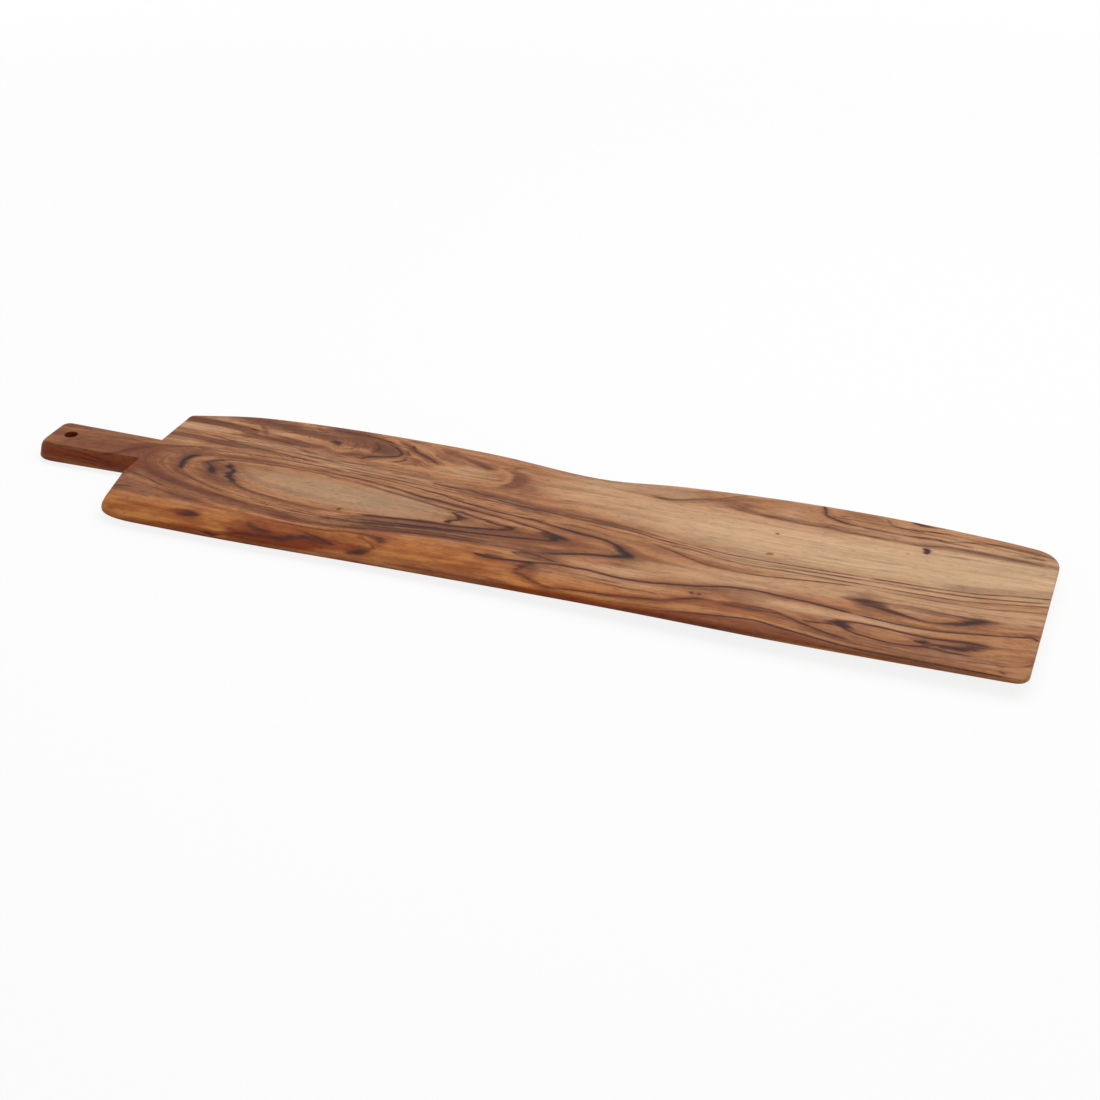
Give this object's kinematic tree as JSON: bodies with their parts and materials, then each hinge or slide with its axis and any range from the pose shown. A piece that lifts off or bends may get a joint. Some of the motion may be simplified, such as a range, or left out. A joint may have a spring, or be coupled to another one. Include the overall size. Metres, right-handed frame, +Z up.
{
  "type": "serving board",
  "caption": "Long, thin wooden serving board glued up from staves, with one wavy natural edge, a sloped near edge, and a rounded handle at one end with a hang hole.",
  "frame": {"origin": "centre of the bounding box, at the height of the flat underside", "axes": "+X along the board from the handle to the wide end, +Y across it towards the wavy edge, +Z up out of the serving side"},
  "size_m": [1, 0.241, 0.018],
  "materials": {
    "oiled_wood": "oiled, satin, with bold dark grain lines",
    "raw_wood": "unfinished, inside the glue joints"
  },
  "bodies": {
    "root": {"far_stave": "oiled_wood", "centre_stave": "oiled_wood", "near_stave": "oiled_wood", "far_tongue": "raw_wood", "near_tongue": "raw_wood"}
  },
  "joints": []
}
